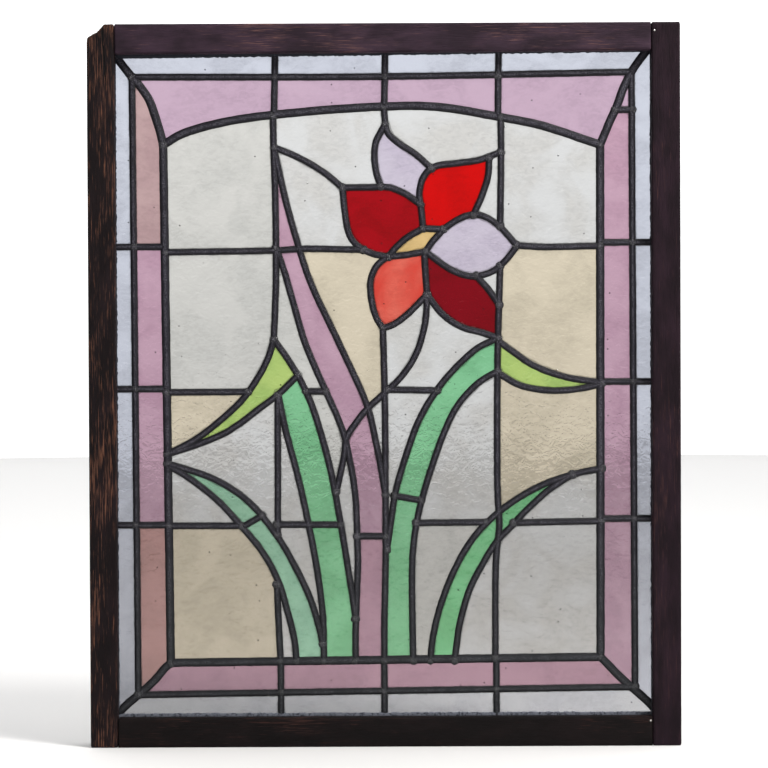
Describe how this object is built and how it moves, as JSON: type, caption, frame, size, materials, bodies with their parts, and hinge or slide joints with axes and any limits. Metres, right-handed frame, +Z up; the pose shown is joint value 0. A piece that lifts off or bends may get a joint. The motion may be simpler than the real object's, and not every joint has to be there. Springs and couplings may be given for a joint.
{
  "type": "leaded stained glass window",
  "caption": "Upright leaded window in a dark wooden frame: a stylised flower and leaves in coloured and clear glass, with a double border and an arched top, made to be built in or hung.",
  "frame": {"origin": "middle of the flat underside of the bottom rail, halfway across the width and the thickness of the frame", "axes": "+X to the right as the front is seen, -Y out of the front face, +Y out of the back with its rebate and putty, +Z up the frame"},
  "size_m": [0.56, 0.034, 0.684],
  "materials": {
    "frame_wood": "dark brown stain, worn and scuffed",
    "lead": "darkened rounded lead came, dull",
    "putty": "hard grey glazing putty, matt",
    "glass_clear": "clear rolled cathedral glass, gently rippled",
    "glass_tan": "pale straw rolled cathedral glass",
    "glass_yellow_green": "yellow-green rolled glass",
    "glass_green": "green rolled glass",
    "glass_pale_green": "pale green rolled glass",
    "glass_pink": "pink rolled glass",
    "glass_lilac": "pale lilac rolled glass",
    "glass_dark_red": "deep red flashed glass",
    "glass_red": "bright red flashed glass",
    "glass_orange": "mottled orange-red glass",
    "glass_yellow": "pale yellow rolled glass",
    "glass_blue_grey": "pale blue-grey rolled cathedral glass"
  },
  "bodies": {
    "root": {"left_stile": "frame_wood", "right_stile": "frame_wood", "top_rail": "frame_wood", "bottom_rail": "frame_wood", "lead_cames": "lead", "putty": "putty", "outer_border_glass": "glass_blue_grey", "inner_border_glass": "glass_pink", "left_clear_1": "glass_clear", "left_clear_2": "glass_clear", "left_tan_3": "glass_tan", "left_clear_4": "glass_clear", "left_clear_5": "glass_clear", "left_tan_6": "glass_tan", "leaf_left_yellow_green": "glass_yellow_green", "leaf_left_green_upper": "glass_green", "leaf_left_green_lower": "glass_green", "leaf_left_pale_upper": "glass_pale_green", "leaf_left_pale_lower": "glass_pale_green", "middle_clear_1": "glass_clear", "middle_clear_2": "glass_clear", "middle_clear_3": "glass_clear", "middle_tan_4": "glass_tan", "middle_clear_5": "glass_clear", "middle_clear_6": "glass_clear", "middle_clear_7": "glass_clear", "middle_clear_8": "glass_clear", "middle_clear_9": "glass_clear", "middle_clear_10": "glass_clear", "stem_pink_1": "glass_pink", "stem_pink_2": "glass_pink", "stem_pink_3": "glass_pink", "stem_pink_4": "glass_pink", "petal_top_lilac": "glass_lilac", "petal_left_dark_red": "glass_dark_red", "petal_right_red": "glass_red", "flower_heart_yellow": "glass_yellow", "petal_right_lilac": "glass_lilac", "petal_lower_dark_red": "glass_dark_red", "petal_lower_orange": "glass_orange", "centre_clear_1": "glass_clear", "centre_clear_2": "glass_clear", "centre_clear_3": "glass_clear", "centre_clear_4": "glass_clear", "centre_clear_5": "glass_clear", "centre_clear_6": "glass_clear", "centre_clear_7": "glass_clear", "centre_clear_8": "glass_clear", "centre_clear_9": "glass_clear", "leaf_right_green_upper": "glass_green", "leaf_right_green_lower": "glass_green", "leaf_right_yellow_green": "glass_yellow_green", "leaf_low_right_tip": "glass_green", "leaf_low_right_base": "glass_green", "right_clear_1": "glass_clear", "right_tan_2": "glass_tan", "right_tan_3": "glass_tan", "right_clear_4": "glass_clear", "right_clear_5": "glass_clear"}
  },
  "joints": []
}
